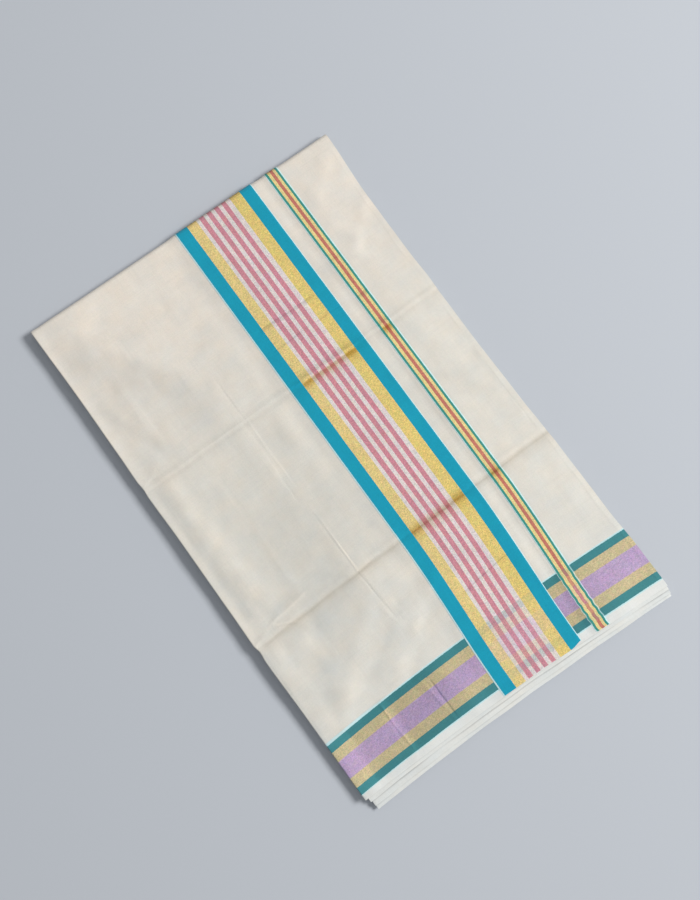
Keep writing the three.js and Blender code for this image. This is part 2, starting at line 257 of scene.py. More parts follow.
def three_plies(columns, pitch, thickness, loop, left_end, right_inset):
    """The centre line of three plies folded from one another, seen along the packet. It starts
    at the upper ply's right edge, turns under at the left in a loop, turns back at the right
    and stops short of the left edge."""
    half = thickness / 2
    left, right = columns[-1], columns[0]
    turns = np.linspace(0, math.pi, 9)[1:-1]
    loop_x = left + loop + half
    right_turn_x = right - right_inset - pitch / 2 - half
    upper = columns[columns > loop_x]
    settling = loop_x + loop * np.array([0, 1.5, 4, 8, 14])
    level = np.linspace(loop_x + 40, right - 30, 7)
    middle = np.array([*settling, *level, right - 12, right_turn_x])
    lower = np.linspace(right - 12, left_end + 30, 9)
    lower = np.array([*lower, left_end + 10, left_end + 3, left_end])
    settled = half + pitch + (2 * loop - pitch) * (1 - ease(middle, loop_x, loop_x + 14 * loop))
    left_depth = half + loop - loop * np.cos(turns)
    right_depth = half + pitch * 1.5 - pitch / 2 * np.cos(turns)
    x = np.concatenate([
        upper, [loop_x], loop_x - loop * np.sin(turns), middle,
        right_turn_x + pitch / 2 * np.sin(turns), [right_turn_x], lower,
    ])
    depth = np.concatenate([
        np.full(len(upper) + 1, half), left_depth, settled,
        right_depth, np.full(len(lower) + 1, half + 2 * pitch),
    ])
    walked = np.concatenate([[0], np.cumsum(np.hypot(np.diff(x), np.diff(depth)))])
    along_x, along_depth = np.gradient(x, walked), np.gradient(depth, walked)
    size = np.hypot(along_x, along_depth)
    return {
        "x": x,
        "depth": depth,
        "out_x": -along_depth / size,
        "out_depth": along_x / size,
        "walked": walked,
        "cloth_x": (packet_right - walked)[None, :],
    }


def across_share(x):
    """0 at the straight packet's left edge, 1 at its right."""
    return (x - packet_left) / (packet_right - packet_left)


def mirrored(path):
    """The same plies folded the other way round, with the free edge at the left."""
    return {**path, "x": packet_left + packet_right - path["x"], "out_x": -path["out_x"]}


def both_faces(path, thickness):
    """x and depth of the two faces of a centre line, the outer face first."""
    for out in (thickness / 2, -thickness / 2):
        yield path["x"] + out * path["out_x"], path["depth"] + out * path["out_depth"]


def cloth_shell(name, outer, inner, cloth_u, cloth_v, tone=1.0):
    """A closed thin wall between two grids of points, with the cloth's own width and length in
    metres as its UV map, and its painted light and shade at each point."""
    rows, columns = outer.shape[:2]
    points = np.concatenate([outer.reshape(-1, 3), inner.reshape(-1, 3)])
    index = np.arange(rows * columns).reshape(rows, columns)
    under = index + rows * columns
    a, b, c, d = index[:-1, :-1], index[:-1, 1:], index[1:, 1:], index[1:, :-1]
    e, f, g, h = under[:-1, :-1], under[:-1, 1:], under[1:, 1:], under[1:, :-1]
    faces = [np.stack([d, c, b, a], -1).reshape(-1, 4), np.stack([e, f, g, h], -1).reshape(-1, 4)]
    for edge in (index[0], index[-1][::-1], index[::-1, 0], index[:, -1]):
        lower = edge + rows * columns
        faces.append(np.stack([edge[:-1], edge[1:], lower[1:], lower[:-1]], -1))
    faces = np.concatenate(faces)
    mesh = bpy.data.meshes.new(name)
    mesh.from_pydata(points.tolist(), [], faces.tolist())
    uv = np.stack(np.broadcast_arrays(cloth_u * MM, cloth_v * MM), -1).reshape(-1, 2)
    uv = np.concatenate([uv, uv])
    layer = mesh.uv_layers.new(name="cloth")
    layer.uv.foreach_set("vector", uv[faces.ravel()].astype(np.float32).ravel())
    tones = np.broadcast_to(tone, (rows, columns)).ravel()
    tones = np.concatenate([tones, tones]).astype(np.float32)
    mesh.attributes.new("tone", "FLOAT", "POINT").data.foreach_set("value", tones)
    piece = bpy.data.objects.new(name, mesh)
    bpy.context.scene.collection.objects.link(piece)
    bpy.ops.object.select_all(action="DESELECT")
    piece.select_set(True)
    bpy.context.view_layer.objects.active = piece
    bpy.ops.object.shade_smooth_by_angle(angle=smooth_angle)
    return piece


def shader_group(name, outputs):
    """An empty shader node group, the cloth's coordinates that it takes, and its outputs."""
    group = bpy.data.node_groups.new(name, "ShaderNodeTree")
    group.interface.new_socket("Cloth", in_out="INPUT", socket_type="NodeSocketVector")
    for socket, kind in outputs:
        group.interface.new_socket(socket, in_out="OUTPUT", socket_type=kind)
    cloth = group.nodes.new("NodeGroupInput").outputs["Cloth"]
    return group, cloth, group.nodes.new("NodeGroupOutput").inputs


def feed(tree, socket, value):
    """Links a socket, or sets a number or a colour."""
    if isinstance(value, bpy.types.NodeSocket):
        tree.links.new(value, socket)
    elif isinstance(value, (int, float)):
        socket.default_value = value
    else:
        socket.default_value = [*value, 1]


def maths(tree, operation, *values):
    """A Math node fed by sockets or numbers, and its result."""
    node = tree.nodes.new("ShaderNodeMath")
    node.operation = operation
    for socket, value in zip(node.inputs, values):
        feed(tree, socket, value)
    return node.outputs[0]


def mixed(tree, share, first, second, blend="MIX"):
    """A colour mix fed by sockets, numbers or colours, and its result."""
    node = tree.nodes.new("ShaderNodeMix")
    node.data_type = "RGBA"
    node.blend_type = blend
    for socket, value in zip([0, 6, 7], [share, first, second]):
        feed(tree, node.inputs[socket], value)
    return node.outputs[2]


def scaled(tree, vector, across, along, operation="MULTIPLY"):
    """The cloth's coordinates, scaled or snapped by a number across it and one along it."""
    node = tree.nodes.new("ShaderNodeVectorMath")
    node.operation = operation
    node.inputs[1].default_value = (across, along, 1)
    tree.links.new(vector, node.inputs[0])
    return node.outputs[0]


def separated(tree, vector):
    """The cloth's coordinate across it, and the one along it."""
    node = tree.nodes.new("ShaderNodeSeparateXYZ")
    tree.links.new(vector, node.inputs[0])
    return node.outputs[0], node.outputs[1]


def noise(tree, cloth, across, along, detail=2.0):
    """A noise between about -0.5 and 0.5, with so many features a metre across and along."""
    node = tree.nodes.new("ShaderNodeTexNoise")
    node.inputs["Scale"].default_value = 1.0
    node.inputs["Detail"].default_value = detail
    tree.links.new(scaled(tree, cloth, across, along), node.inputs["Vector"])
    return maths(tree, "SUBTRACT", node.outputs["Fac"], 0.5)


def fleck(tree, vector, across, along):
    """A value and a colour for each small cell of yarn, across by along in metres."""
    node = tree.nodes.new("ShaderNodeTexWhiteNoise")
    node.noise_dimensions = "2D"
    tree.links.new(scaled(tree, vector, across, along, "SNAP"), node.inputs["Vector"])
    return node.outputs["Value"], node.outputs["Color"]


def rgb(tree, *channels):
    """Three values as one colour."""
    node = tree.nodes.new("ShaderNodeCombineColor")
    for socket, value in zip(node.inputs, channels):
        tree.links.new(value, socket)
    return node.outputs[0]


# The weave, which every cloth here uses. Shade is the light and dark of uneven yarns, with a
# faint warm and cool cast, Fleck the yarns' own speckle, Tint its colour, and Height the
# crowns of the yarns where they cross.
yarn_pitch = 0.00042
yarn_sway = 0.0012
streak_depth, crossing_depth, broad_depth = 0.08, 0.1, 0.03
mottle_depth, cloud_depth, cast_depth = 0.11, 0.11, 0.11
tree, cloth, weave_out = shader_group(
    "Handloom weave",
    [("Shade", "NodeSocketColor"), ("Fleck", "NodeSocketFloat"), ("Tint", "NodeSocketColor"),
     ("Height", "NodeSocketFloat")],
)
weave_group = tree
sway = maths(tree, "MULTIPLY", noise(tree, cloth, 90, 90), yarn_sway)
sines = []
for place in separated(tree, cloth):
    count = maths(tree, "DIVIDE", maths(tree, "ADD", place, sway), yarn_pitch)
    sines.append(maths(tree, "SINE", maths(tree, "MULTIPLY", count, math.pi)))
crossing = maths(tree, "ABSOLUTE", maths(tree, "MULTIPLY", *sines))
warp_streaks = noise(tree, cloth, 700, 14, 2.5)
weft_streaks = noise(tree, cloth, 14, 700, 2.5)
streaks = maths(tree, "ADD", warp_streaks, weft_streaks)
shade = maths(tree, "MULTIPLY_ADD", streaks, streak_depth, 1.0)
for across, along, detail, depth in (
    (150, 16, 2.0, broad_depth), (16, 150, 2.0, broad_depth),
    (60, 60, 4.0, mottle_depth), (21, 21, 3.0, cloud_depth),
):
    patches = noise(tree, cloth, across, along, detail)
    shade = maths(tree, "MULTIPLY_ADD", patches, depth, shade)
shade = maths(tree, "MULTIPLY_ADD", maths(tree, "SUBTRACT", crossing, 0.4), crossing_depth, shade)
cast = maths(tree, "MULTIPLY", noise(tree, cloth, 37, 43, 3.0), cast_depth)
warmed = rgb(tree, maths(tree, "ADD", shade, cast), shade, maths(tree, "SUBTRACT", shade, cast))
tree.links.new(warmed, weave_out["Shade"])
small_fleck, small_tint = fleck(tree, cloth, 0.0007, 0.0005)
large_fleck, large_tint = fleck(tree, cloth, 0.0014, 0.0009)
flecks = maths(tree, "MULTIPLY_ADD", large_fleck, 0.6, maths(tree, "SUBTRACT", small_fleck, 0.8))
tree.links.new(flecks, weave_out["Fleck"])
patches = tree.nodes.new("ShaderNodeTexNoise")
patches.inputs["Scale"].default_value = 1.0
tree.links.new(scaled(tree, cloth, 240, 170), patches.inputs["Vector"])
tint = mixed(tree, 0.6, mixed(tree, 0.5, small_tint, large_tint), patches.outputs["Color"])
tree.links.new(mixed(tree, 1.0, tint, (2, 2, 2), "MULTIPLY"), weave_out["Tint"])
tree.links.new(maths(tree, "MULTIPLY_ADD", streaks, 1.2, crossing), weave_out["Height"])

cloth_surface = {"Specular IOR Level": 0.25, "Sheen Weight": 0.1, "Sheen Roughness": 0.6}


def cloth_material(name, roughness):
    """A material on the cloth's own UV map, with its tree, shader, coordinates and weave."""
    material = bpy.data.materials.new(name)
    material.use_nodes = True
    tree = material.node_tree
    shader = tree.nodes["Principled BSDF"]
    shader.inputs["Roughness"].default_value = roughness
    for socket, value in cloth_surface.items():
        shader.inputs[socket].default_value = value
    cloth = tree.nodes.new("ShaderNodeUVMap")
    cloth.uv_map = "cloth"
    weave = tree.nodes.new("ShaderNodeGroup")
    weave.node_tree = weave_group
    tree.links.new(cloth.outputs[0], weave.inputs["Cloth"])
    bump = tree.nodes.new("ShaderNodeBump")
    bump.inputs["Strength"].default_value = 0.4
    bump.inputs["Distance"].default_value = 0.00014
    tree.links.new(weave.outputs["Height"], bump.inputs["Height"])
    tree.links.new(bump.outputs[0], shader.inputs["Normal"])
    return material, tree, shader, cloth.outputs[0], weave


def woven(tree, colour, weave, fleck_depth, tint_depth, cool=0.0):
    """A colour under the cloth's tone, which is painted light and shade, and the weave's shade,
    speckle and tint. A cool tone takes more red than blue out of the places of painted shade."""
    tone = tree.nodes.new("ShaderNodeAttribute")
    tone.attribute_name = "tone"
    powers = (1 + cool, 1, 1 - cool)
    tones = [maths(tree, "POWER", tone.outputs["Fac"], power) for power in powers]
    toned = mixed(tree, 1.0, colour, rgb(tree, *tones), "MULTIPLY")
    shaded = mixed(tree, 1.0, toned, weave.outputs["Shade"], "MULTIPLY")
    level = maths(tree, "MULTIPLY_ADD", weave.outputs["Fleck"], fleck_depth, 1.0)
    speckled = mixed(tree, 1.0, shaded, rgb(tree, level, level, level), "MULTIPLY")
    return mixed(tree, tint_depth, speckled, weave.outputs["Tint"], "MULTIPLY")


cotton_white = linear(229, 231, 229)
cotton_roughness, cotton_speckle = 0.92, 0.03
cotton, tree, shader, cloth, weave = cloth_material("plain cotton", cotton_roughness)
tree.links.new(woven(tree, cotton_white, weave, cotton_speckle, 0.0), shader.inputs["Base Color"])

hidden_thickness = 0.2
hidden_levels = np.linspace(5.35, 0.02, 5)
hidden_gap = 0.04
corner_inset, corner_reach = 4.5, 70
hidden_step = 12
plain_columns = gathered_lines(packet_right, packet_left, 11)
lowest_end = (-320.0, -318.8, -327.0)


def hidden_stretch(number, top_level, bottom_level):
    """One hidden stretch of three plies, between two heights of the level pile."""
    pitch = (top_level - bottom_level - hidden_thickness) / 2 - hidden_gap
    loop = pitch / 2 + 0.01
    path = three_plies(plain_columns, pitch, hidden_thickness, loop, packet_left + 5, 0.6)
    if number % 2:
        path = mirrored(path)
    end_y = lowest_end[1]
    rows = gathered_lines(end_y, fold_start - 0.3, hidden_step, (end_y, 8, 4))
    v = rows[:, None]
    share = across_share(path["x"])
    inset = 2.6 + 0.9 * math.sin(2.1 * number + 0.7)
    corner = corner_inset * (1 - ease(v, rows[0], rows[0] + corner_reach)) * (1 - share)
    side_shift = inset * (1 - 2 * share) + corner
    side_shift = side_shift + 0.6 * waviness(0, v, 75, seed=40 + number) * (2 * share - 1)
    end_inset = 3.0 + 0.8 * math.sin(1.7 * number)
    end_inset = end_inset + 0.4 * waviness(path["x"], 0, 80, seed=50 + number)
    wanted_end = bow(path["x"], *lowest_end) + end_inset
    end_shift = wanted_end - in_plan(path["x"], rows[:1])[1]
    faces = []
    for x, depth in both_faces(path, hidden_thickness):
        height = (top_level - depth) * (1 + pile_swell(x, v) / fold_radius)
        plan_x, plan_y = in_plan(x, v)
        plan_y = plan_y + end_shift * near_hem(v, rows[0])
        faces.append(np.stack([plan_x + side_shift, plan_y, height], -1) * MM)
    return cloth_shell(f"hidden_{number}", *faces, path["cloth_x"], v), path, rows


hidden = []
for number in range(4):
    shell, path, rows = hidden_stretch(number, hidden_levels[number], hidden_levels[number + 1])
    hidden.append(shell)
bpy.ops.object.select_all(action="DESELECT")
for shell in hidden:
    shell.select_set(True)
bpy.context.view_layer.objects.active = hidden[0]
bpy.ops.object.join()
layers = hidden[0]
layers.name = layers.data.name = "folded_layers_cloth"
layers.data.materials.append(cotton)
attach(layers, "root")
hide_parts("folded_layers")

# ---- Stretches whose ends show past the hem ----
# Above them lie three more stretches of three plies each. Their ends come out a few
# millimetres past one another at the hem, and they turn down inside the top fold.

lower_thickness, lower_pitch, lower_loop, lower_step = 0.36, 0.41, 0.3, 9
lower_ply_ends = ([390, 415, 790, 815], [0, 0.5, 0.5, 0.2])
third_end, second_end = (-315, -314.4, -323.2), (-308.9, -308.6, -319.2)
top_end = (-303.8, -304.4, -314.8)
# In each row, shaded is how dark the painted shadow is on the stretch just past the edge of the
# stretch above it.
lower_stretches = [
    {"name": "fourth_stretch", "level": 6.75, "left": 6.4, "right": -2.6, "end": lowest_end,
     "next_end": third_end, "next_seed": 1, "shaded": 0.13},
    {"name": "third_stretch", "level": 8.05, "left": 5.0, "right": -0.8, "end": third_end,
     "next_end": second_end, "next_seed": 2, "shaded": 0.28},
    {"name": "second_stretch", "level": 9.35, "left": 4.2, "right": -1.2, "end": second_end,
     "next_end": top_end, "next_seed": 9, "shaded": 0.16},
]
shaded_depth = 2.0
end_waver = 0.35
flattens_from, flattens_to = 1.3, 2.6
fold_turn = 178


def over_fold(rows, level, turn_degrees, steps):
    """Rows along a stretch, carried on round the top fold."""
    arc = (level - fold_radius) * math.radians(turn_degrees)
    return np.concatenate([rows[rows < fold_start], fold_start + np.linspace(0, arc, steps)])


def lay(level, x, v, depth, relief):
    """The place in millimetres of cloth at x across and v along, depth below a stretch's face.
    Past the start of the top fold the cloth goes down round it, and its relief dies out."""
    turn = np.maximum(0, v - fold_start) / (level - fold_radius)
    y = np.minimum(v, fold_start)
    radial = level - fold_radius - depth + relief * (1 - ease(turn, flattens_from, flattens_to))
    radial = radial + pile_swell(x, y) * np.clip(radial / fold_radius + 1, 0, 1)
    plan_x, plan_y = in_plan(x, y)
    place = [plan_x, plan_y + radial * np.sin(turn), fold_radius + radial * np.cos(turn)]
    return np.stack(np.broadcast_arrays(*place), axis=-1)


def lower_shell(row, number):
    """A stretch shifted to its own sides and its own end, with its plies a little apart."""
    path = three_plies(
        plain_columns, lower_pitch, lower_thickness, lower_loop, packet_left + 4, 0.8
    )
    if number % 2 == 0:
        path = mirrored(path)
    end_y = row["end"][1]
    rows = gathered_lines(end_y, fold_start, lower_step, (end_y, 13, 1.0))
    rows = over_fold(rows, row["level"], fold_turn, 9)
    v = rows[:, None]
    share = across_share(path["x"])
    ply_end = np.interp(path["walked"], *lower_ply_ends)
    wanted_end = bow(path["x"], *row["end"]) + ply_end
    wanted_end = wanted_end + end_waver * waviness(path["x"], 0, 70, seed=number)
    end_shift = wanted_end - in_plan(path["x"], rows[:1])[1]
    side_shift = row["left"] + (row["right"] - row["left"]) * share
    side_shift = side_shift + 0.5 * waviness(0, v, 85, seed=20 + number) * (2 * share - 1)
    faces = []
    for x, depth in both_faces(path, lower_thickness):
        face = lay(row["level"], x[None, :], v, depth[None, :], 0)
        face[..., 0] += side_shift
        face[..., 1] += end_shift * near_hem(v, rows[0])
        faces.append(face * MM)
    # Painted shadow on the stretch just past the edge of the stretch above, uneven and fainter to
    # the right.
    next_waver = end_waver * waviness(path["x"], 0, 70, seed=row["next_seed"])
    past_edge = bow(path["x"], *row["next_end"]) + next_waver - faces[0][..., 1] / MM
    uneven = 1 + 0.4 * waviness(path["x"], 0, 60, seed=70 + number) - 0.3 * ease(path["x"], 60, 180)
    tone = 1 - row["shaded"] * uneven * (1 - ease(past_edge, 0.3, shaded_depth))
    shell = cloth_shell(row["name"] + "_cloth", *faces, path["cloth_x"], v, tone)
    return shell, (path["walked"][-1] * MM, (rows[-1] - rows[0]) * MM)


for number, row in enumerate(lower_stretches):
    piece, flat = lower_shell(row, number)
    piece.data.materials.append(cotton)
    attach(piece, "root")
    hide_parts(row["name"])

# ---- Top stretch ----
# The stretch on top is three plies. Its left edge is a soft loop, its right edge a free
# selvedge, and it goes down over the pile's top fold. Storage pressed two creases across it
# and one along it. The cross band of teal, gold and lavender wefts is woven in near the hem.

top_thickness, top_pitch, side_loop, top_step = 0.32, 0.52, 0.8, 5.0
top_ply_ends = ([390, 405, 800, 815], [0, -0.4, -0.4, -0.2])

# Creases, tucks and soft hollows, each from one place to another.
creases = table(
    "x1 y1 x2 y2 width height",
    # the upper crease across, with its two hollows, and stronger over the borders
    (-203, 105.4, 203, 105.4, 1.4, 0.12),
    (-203, 109.4, 203, 109.4, 2.2, -0.16),
    (-203, 101.2, 203, 101.2, 2.2, -0.16),
    (8, 104, 79, 104, 1.3, 0.6),
    (8, 108.6, 79, 108.6, 3, -0.3),
    (8, 98.4, 79, 98.4, 3.6, -0.45),
    (117, 103.8, 131, 103.8, 1.4, 0.4),
    (117, 98.8, 131, 98.8, 3.2, -0.4),
    (-201, 108.5, -179, 117.5, 1.5, 0.35),
    # the lower crease across
    (-192, -101.6, 203, -102.9, 1.7, -0.5),
    (-184, -96.8, 203, -98, 3.2, 0.42),
    (-170, -108, -60, -108.6, 3, 0.2),
    (4, -103.4, 83, -103.4, 2.2, -0.6),
    (115, -103.4, 133, -103.4, 2, -0.5),
    # the crease along the packet, which wavers and changes sides
    (-67.5, 162, -67.5, 108, 1.6, -0.12),
    (-65.3, 137, -65.3, 100, 1.2, 0.08),
    (-65.4, 100, -65.6, 28, 1.1, 0.1),
    (-69.2, 98, -71.6, 4, 1.5, -0.09),
    (-64.2, -24, -63.4, -60, 1.2, 0.1),
    (-63.6, -60, -63.2, -103, 1, 0.16),
    (-66.4, -30, -66.2, -103, 1.3, -0.08),
    (-64, -106, -63, -126, 1, -0.14),
    (-63, -126, -60.8, -158, 1.2, -0.14),
    (-60.4, -108, -58.2, -158, 1.3, 0.1),
    (-50, -128, -50, -152, 1.2, -0.12),
    (-66, -153, -63, -165, 1.5, 0.16),
    (-57, -150, -54, -168, 1.4, -0.18),
    # the slanting tuck at the left, and the short fold below it
    (-166, -80.5, -130, -76.5, 5, -0.35),
    (-168, -89, -121, -84.2, 1.8, 0.3),
    (-198, -98, -168, -88.8, 2, 0.35),
    (-171, -92.4, -151, -103.8, 1.5, 0.55),
    (-166, -96.6, -150, -107.6, 1.8, -0.16),
    # soft folds in the left field
    (-186, 268, -140, 218, 14, -0.4),
    (-150, 272, -100, 196, 12, 0.7),
    (-127, 250, -127, 130, 2.6, -0.08),
    (-152, 250, -151, 130, 3, -0.08),
    (-176, 166, -160, 132, 9, -0.4),
    (-158, 206, -157, 150, 7, 0.5),
    (-100, 60, -92, -10, 16, -0.4),
    (-44.5, 88, -44, 60, 4, -0.3),
    (-43, -66, -43, -82, 4.5, -0.3),
    (-30, 150, -34, 20, 12, 0.5),
    (-137, -40, -138, -78, 6, -0.25),
    (-127, -8, -128, -82, 3, 0.1),
    (-172, 92, -166, -50, 10, 0.7),
    (-134, -122, -132, -150, 2.2, -0.12),
    (-142, -122, -139, -152, 3, 0.2),
    (-112, -122, -124, -156, 12, -0.2),
    (-138, -128, -166, -186, 13, -0.5),
    (-160, -212, -92, -152, 10, 0.6),
    (-108, -198, -50, -161, 9, -0.55),
    (-90, -216, -18, -168, 8, 0.6),
    (-113, -180, -110, -185, 2, -0.3),
    (-182, -196, -150, -214, 9, 0.4),
    # the left edge: a rim, the hollow inside it and the next swell
    (-200.5, 308, -200.5, -104, 4.5, 0.3),
    (-190, 292, -190, 110, 6, -0.5),
    (-190, 92, -189, -68, 6, -0.6),
    (-188, -116, -187, -292, 8, 0.6),
    # soft folds between the borders and on the right
    (105, 250, 106, 120, 5, 0.3),
    (104, -60, 103, -210, 5, 0.3),
    (148, 190, 194, 231, 6.5, 0.5),
    (150, 268, 184, 302, 9, 0.5),
    (138, 222, 150, 206, 9, -0.4),
    (146, 30, 168, -40, 14, -0.4),
    (184, 0, 190, -70, 2, 0.24),
    (152, -130, 166, -200, 12, 0.3),
    # the selvedge line inside the right edge
    (194.3, 312, 194.3, -300, 1.1, 0.1),
    # the tuck just above the cross band at the left, and short creases through the band
    (-201, -226.6, -118, -227.6, 1.3, 0.5),
    (-131.5, -236, -130.5, -286, 1.6, -0.3),
    (-128.4, -236, -127.4, -288, 1.1, 0.42),
    (-177, -238, -174, -286, 3, 0.4),
    (-78.5, -240, -75, -262, 1.2, 0.4),
    (-75, -262, -73.5, -288, 1.2, 0.42),
    (-69, -246, -68.6, -287, 1.2, -0.5),
    # fine wrinkles across the wide border
    (18, 264.8, 96, 264.4, 0.9, -0.4),
    (8, 178.2, 96, 178, 0.9, -0.4),
    (8, 150, 94, 150.2, 0.9, -0.35),
    (6, -190.2, 80, -182.4, 0.9, -0.45),
)
deepest_hollow = 0.9
crease_tail = 4.0
crease_waver, crease_unevenness = 0.5, 0.35
wrinkles = table("length height", (64, 0.3), (26, 0.09), (12, 0.03))
border_swells = table(
    "left right left_rise right_rise swell",
    (wide_left, wide_right, 15, 7, 0.8),
    (narrow_left, narrow_right, 6, 7, 0.45),
)
border_shoulder = 1.0


def stroke(x, y, row, number, tail):
    """How near a place is to the line of a table's row, from 0 to about 1, unevenly along it."""
    run = np.array([row["x2"] - row["x1"], row["y2"] - row["y1"]])
    length = np.hypot(*run)
    run = run / length
    along = (x - row["x1"]) * run[0] + (y - row["y1"]) * run[1]
    waver = crease_waver * waviness(along, 0, 55, seed=200 + number, waves=4)
    aside = ((x - row["x1"]) * run[1] - (y - row["y1"]) * run[0] + waver) / row["width"]
    past = np.maximum(0, np.maximum(-along, along - length)) / (row["width"] * tail)
    strength = 1 + crease_unevenness * waviness(along, 0, 38, seed=300 + number, waves=4)
    return strength * np.exp(-aside * aside - past * past)


def top_relief(x, y):
    """What creases, wrinkles and the borders' close weave add to the upper face."""
    height = 0
    for number, row in enumerate(wrinkles):
        height = height + row["height"] * waviness(x, y, row["length"], seed=3 + number)
    height = height * (1 - ease(y, fold_start - 12, fold_start))
    for number, crease in enumerate(creases):
        height = height + crease["height"] * stroke(x, y, crease, number, crease_tail)
    height = np.where(height < 0, -deepest_hollow * np.tanh(-height / deepest_hollow), height)
    for border in border_swells:
        rise = ease(x, border["left"] - border["left_rise"], border["left"] - border_shoulder)
        fall = ease(x, border["right"] + border_shoulder, border["right"] + border["right_rise"])
        height = height + border["swell"] * rise * (1 - fall)
    return height


# Painted light and shade of the soft folds, creases, tucks and wrinkles, as a share of the cloth's
# colour.
painted_light_and_shade = table(
    "x1 y1 x2 y2 width change",
    # the field above the upper crease
    (-188, 270, -148, 222, 13, -0.045),
    (-150, 222, -100, 168, 14, -0.036),
    (-94, 160, -70, 136, 15, -0.018),
    (-140, 262, -108, 214, 6, 0.03),
    (-120, 300, -74, 222, 26, 0.04),
    (-174, 160, -158, 132, 8, -0.05),
    (-158, 203, -157, 152, 6, 0.05),
    (-114, 186, -102, 125, 20, -0.04),
    (-140, 308, -40, 298, 32, 0.04),
    (-200.5, 290, -200.5, 150, 3, 0.05),
    (-192, 205, -176, 172, 6, -0.06),
    # between the creases
    (-190, 92, -189, -66, 5.5, -0.07),
    (-189, -8, -188, -66, 5.5, -0.06),
    (-173, 96, -170, -55, 8, 0.07),
    (-130, 70, -129, -60, 4, 0.03),
    (-110, -16, -100, -92, 26, -0.045),
    (-70, 92, -70, 30, 7, 0.05),
    (-44.5, 84, -44, 62, 4, -0.05),
    (-43, -68, -43, -80, 4.5, -0.05),
    (-22, -70, -22, -78, 4, -0.05),
    (-24, 90, -26, 40, 9, 0.05),
    (-160, -81, -140, -79, 5.5, -0.08),
    (-198, -98, -168, -88.6, 1.6, 0.06),
    (-166, -89.6, -122, -85, 1.4, 0.05),
    (-170, -92.6, -151, -103.6, 1.4, 0.11),
    (-176, -72, -175, -86, 4, 0.05),
    # the crease along the packet
    (-64.2, 90, -64.2, 20, 1.1, 0.03),
    (-63.2, -62, -63.2, -101, 0.8, 0.14),
    (-65.9, -60, -65.8, -100, 1.1, -0.04),
    (-60.8, -70, -60.8, -100, 1.1, -0.025),
    (-63.8, -108, -62, -140, 1, -0.05),
    # below the lower crease
    (-200.5, -108, -200.5, -300, 3, -0.12),
    (-172, -116, -84, -115, 8, -0.04),
    (-128, -124, -170, -192, 14, -0.065),
    (-149, -122, -146, -152, 6, 0.05),
    (-134, -122, -133, -150, 2, -0.03),
    (-164, -214, -89, -152, 10, 0.045),
    (-112, -200, -48, -160, 7, -0.07),
    (-92, -216, -15, -168, 9, 0.05),
    (-50, -112, -20, -135, 12, 0.05),
    (-110, -125, -85, -222, 62, -0.04),
    # between the borders and on the right
    (102, -97.6, 200, -98.2, 2.4, 0.06),
    (-60, -98, 0, -98, 2.2, 0.03),
    (104, 22, 104, -20, 8, -0.05),
    (104, 230, 105, 180, 8, -0.04),
    (138, 222, 150, 206, 9, -0.05),
    (148, 190, 194, 231, 5, 0.035),
    (150, 268, 184, 302, 9, 0.035),
    (166, 88, 174, 46, 14, 0.035),
    (138, 24, 152, 12, 6, -0.04),
    (163, -10, 168, -18, 8, -0.035),
    (190.5, 20, 192, -65, 2.6, -0.05),
    (168, -165, 184, -224, 20, -0.035),
    # the fine wrinkles across the wide border
    (6, -190.2, 80, -182.4, 0.8, -0.2),
    (14, 264.8, 80, 264.4, 0.9, -0.2),
    (8, 178.2, 80, 178, 0.9, -0.2),
    (8, 150, 80, 150.2, 0.9, -0.16),
    (118, 198, 130, 198.2, 1.2, -0.2),
    (118, 147.6, 130, 147.4, 1.4, -0.24),
    (14, 205, 14, 122, 7, -0.04),
    # short creases through the cross band
    (-128, -240, -128, -262, 1, 0.08),
    (-76, -243, -70.8, -270, 1, 0.13),
    (-68.6, -248, -68.4, -287, 0.9, -0.22),
)
painted_light_and_shade_tail = 1.2


def painted_light_and_shade_tone(x, y):
    """The painted light and shade at a place of the packet, as a factor on the cloth's colour."""
    strokes = (row["change"] * stroke(x, y, row, 500 + n, painted_light_and_shade_tail) for n, row in enumerate(painted_light_and_shade))
    return 1 + sum(strokes)


def hem_wave(x):
    """How far the hem's edge wavers along the packet."""
    return 0.25 * waviness(x, 0, 50, seed=9)


# Points stand closer at the selvedge, the borders' edges and the fine creases.
top_columns = gathered_lines(
    packet_right, packet_left, top_step,
    (194.3, 3, 0.6), (narrow_right, 5, 1.4), (narrow_left, 4, 1.4), (wide_right, 4, 1.6),
    (wide_left, 8, 2.0), (-50, 3, 0.8), (-63.5, 7, 0.55), (-73, 6, 0.7), (-129, 4, 0.7),
    (-150, 30, 2.0), (-175, 5, 1.6), (-197, 6, 1.6),
)
top_rows = gathered_lines(
    packet_hem, fold_start, top_step,
    (packet_hem, 6, 2.0), (-227.4, 3, 0.6), (-186.5, 5, 0.6), (-103.6, 5, 0.6), (-90, 9, 1.2),
    (104, 7, 0.7), (112, 4, 1.5), (94, 4, 1.5), (149.2, 3.2, 0.6), (178.2, 2.6, 0.6),
    (198, 2.6, 0.7), (264.6, 2.6, 0.6),
)
flat_rows = top_rows[top_rows < fold_start]
top_rows = over_fold(flat_rows, pile_height, fold_turn, 15)
top_path = three_plies(top_columns, top_pitch, top_thickness, side_loop, packet_left + 9, 1.4)
v = top_rows[:, None]
flat_x = np.clip(top_path["x"], packet_left, packet_right)[None, :]
relief = top_relief(flat_x, np.minimum(v, fold_start))

